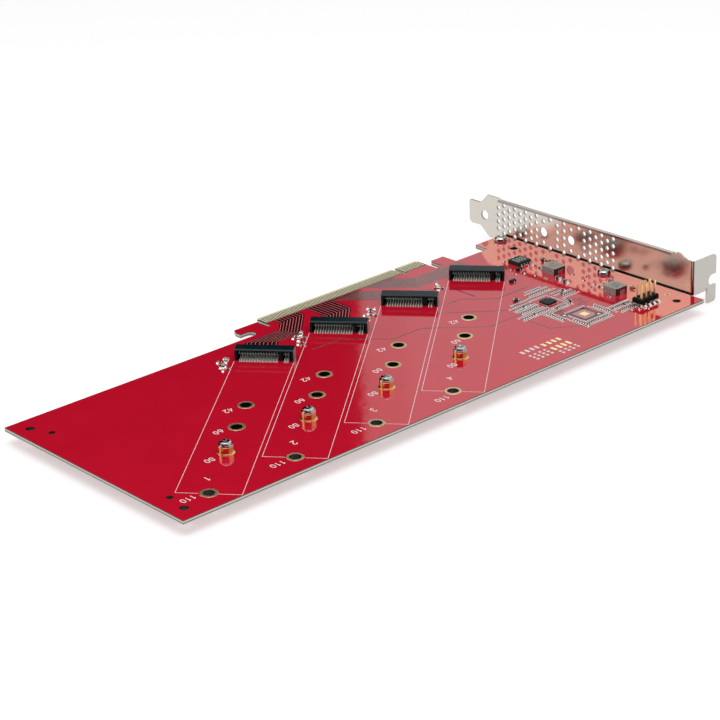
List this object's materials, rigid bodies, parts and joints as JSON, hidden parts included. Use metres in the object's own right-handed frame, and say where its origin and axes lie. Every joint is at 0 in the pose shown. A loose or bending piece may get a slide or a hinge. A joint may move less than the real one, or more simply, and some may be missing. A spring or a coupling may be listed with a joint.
{
  "type": "nvme adapter card",
  "caption": "Expansion card with diagonal drive sockets, brass standoffs, a gold card edge and a perforated slot bracket.",
  "frame": {"origin": "centre of the card edge's key notch at the tongue's outer edge, halfway through the board", "axes": "+X from the bracket towards the free end, +Y from the card edge towards the top edge, +Z to the component side"},
  "size_m": [0.2685, 0.126, 0.0213],
  "materials": {
    "solder_mask": "glossy red solder mask on glass laminate",
    "gold_plate": "hard gold plating",
    "nickel_plate": "bright nickel-plated steel sheet",
    "screw_steel": "bright plated steel",
    "nut_steel": "plated steel",
    "pressed_iron": "matt pressed iron powder",
    "tin_plate": "tinned copper",
    "chip_black": "matt moulding compound",
    "header_black": "glass-filled nylon",
    "pin_gold": "gold flash",
    "capacitor_tan": "fired ceramic with tinned ends",
    "resistor_black": "glazed film with tinned ends",
    "socket_black": "moulded liquid-crystal polymer",
    "contact_gold": "gold-flashed copper alloy",
    "brass": "turned brass",
    "silk_white": "white printing ink",
    "solder": "bright solder"
  },
  "bodies": {
    "root": {"circuit_board": "solder_mask", "edge_contacts_front": "gold_plate", "edge_contacts_back": "gold_plate", "slot_bracket": "nickel_plate", "bracket_screw_1": "screw_steel", "bracket_screw_2": "screw_steel", "inductor_1": "pressed_iron", "inductor_2": "pressed_iron", "inductor_terminals": "tin_plate", "clock_chip": "chip_black", "power_chip": "chip_black", "header_base": "header_black", "header_pins": "pin_gold", "chip_capacitors": "capacitor_tan", "chip_resistors": "resistor_black", "small_transistors": "chip_black", "drive_socket_1": "socket_black", "socket_contacts_1": "contact_gold", "standoff_1": "brass", "standoff_nut_1": "nut_steel", "drive_screw_1": "screw_steel", "drive_socket_2": "socket_black", "socket_contacts_2": "contact_gold", "standoff_2": "brass", "standoff_nut_2": "nut_steel", "drive_screw_2": "screw_steel", "drive_socket_3": "socket_black", "socket_contacts_3": "contact_gold", "standoff_3": "brass", "standoff_nut_3": "nut_steel", "drive_screw_3": "screw_steel", "drive_socket_4": "socket_black", "socket_contacts_4": "contact_gold", "standoff_4": "brass", "standoff_nut_4": "nut_steel", "drive_screw_4": "screw_steel"}
  },
  "joints": []
}
